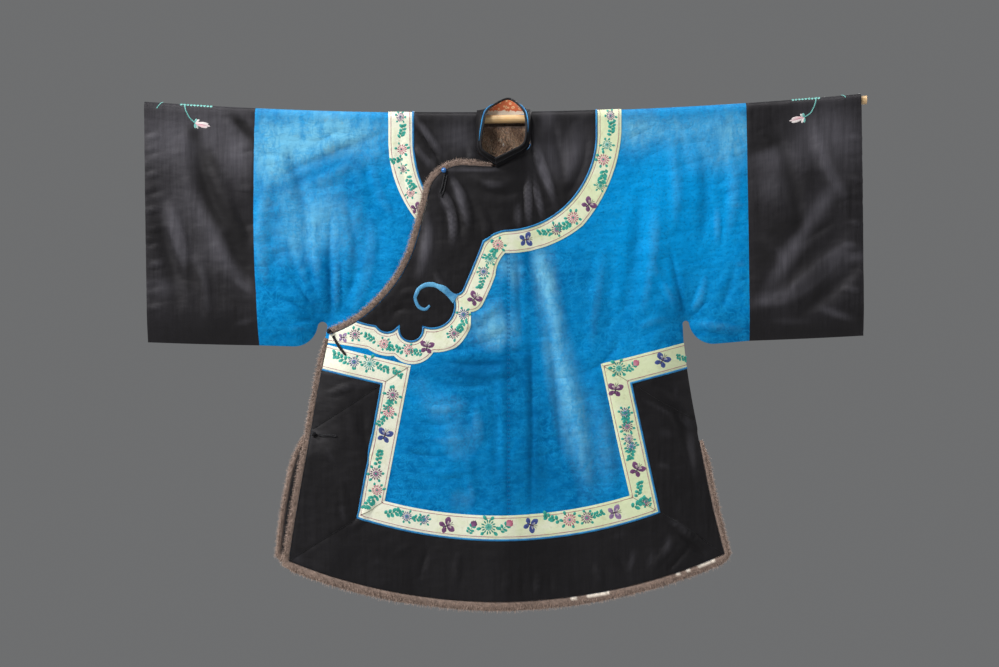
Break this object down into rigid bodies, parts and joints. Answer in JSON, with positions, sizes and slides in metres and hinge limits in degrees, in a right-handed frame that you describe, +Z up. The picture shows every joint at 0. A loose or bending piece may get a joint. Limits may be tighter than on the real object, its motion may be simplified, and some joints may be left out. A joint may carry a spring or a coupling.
{
  "type": "fur-lined silk robe on a bamboo rod",
  "caption": "Fur-lined silk robe with wide sleeves, side fastening, embroidered bands and black borders, hung flat on a bamboo rod.",
  "frame": {"origin": "where it is held: the middle of the rod, on its axis", "axes": "+X along the rod to the wearer's left, -Y the robe's front, +Z up"},
  "size_m": [1.4086, 0.0788, 1.0068],
  "materials": {
    "azure_silk": "damask silk, soft sheen",
    "black_satin": "satin",
    "pale_satin": "satin with silk embroidery",
    "blue_piping": "silk piping",
    "patterned_silk": "patterned silk",
    "brown_fur": "short fur",
    "bamboo": "bare, smooth",
    "black_cord": "satin cord",
    "blue_glass": "polished"
  },
  "bodies": {
    "root": {"back_left": "azure_silk", "back_right": "azure_silk", "band_back_bottom": "pale_satin", "band_back_left_side": "pale_satin", "band_back_left_top": "pale_satin", "band_back_right_side": "pale_satin", "band_back_right_top": "pale_satin", "band_front_bottom": "pale_satin", "band_front_left_side": "pale_satin", "band_front_left_top": "pale_satin", "band_front_right_side": "pale_satin", "band_front_right_top": "pale_satin", "band_under": "pale_satin", "band_yoke_back": "pale_satin", "band_yoke_front": "pale_satin", "band_yoke_under": "pale_satin", "border_back_bottom": "black_satin", "border_back_left_side": "black_satin", "border_back_left_top": "black_satin", "border_back_right_side": "black_satin", "border_back_right_top": "black_satin", "border_front_bottom": "black_satin", "border_front_left_side": "black_satin", "border_front_left_top": "black_satin", "border_front_right_side": "black_satin", "border_front_right_top": "black_satin", "border_under": "black_satin", "button_chest": "blue_glass", "collar": "black_satin", "collar_lining": "patterned_silk", "collar_piping": "blue_piping", "cuff_left_back": "black_satin", "cuff_left_front": "black_satin", "cuff_right_back": "black_satin", "cuff_right_front": "black_satin", "frog_chest": "black_cord", "frog_side": "black_cord", "frog_underarm": "black_cord", "front_left": "azure_silk", "front_overlap": "azure_silk", "front_under": "azure_silk", "fur_back": "brown_fur", "fur_front": "brown_fur", "fur_lining_neck": "brown_fur", "fur_overlap": "brown_fur", "fur_under": "brown_fur", "knot_side": "black_cord", "knot_underarm": "black_cord", "piping_hem_back": "blue_piping", "piping_hem_front": "blue_piping", "piping_yoke_back": "blue_piping", "piping_yoke_front": "blue_piping", "piping_yoke_under": "blue_piping", "rod": "bamboo", "scroll_overlap": "blue_piping", "yoke_back": "black_satin", "yoke_front": "black_satin", "yoke_under": "black_satin"}
  },
  "joints": []
}
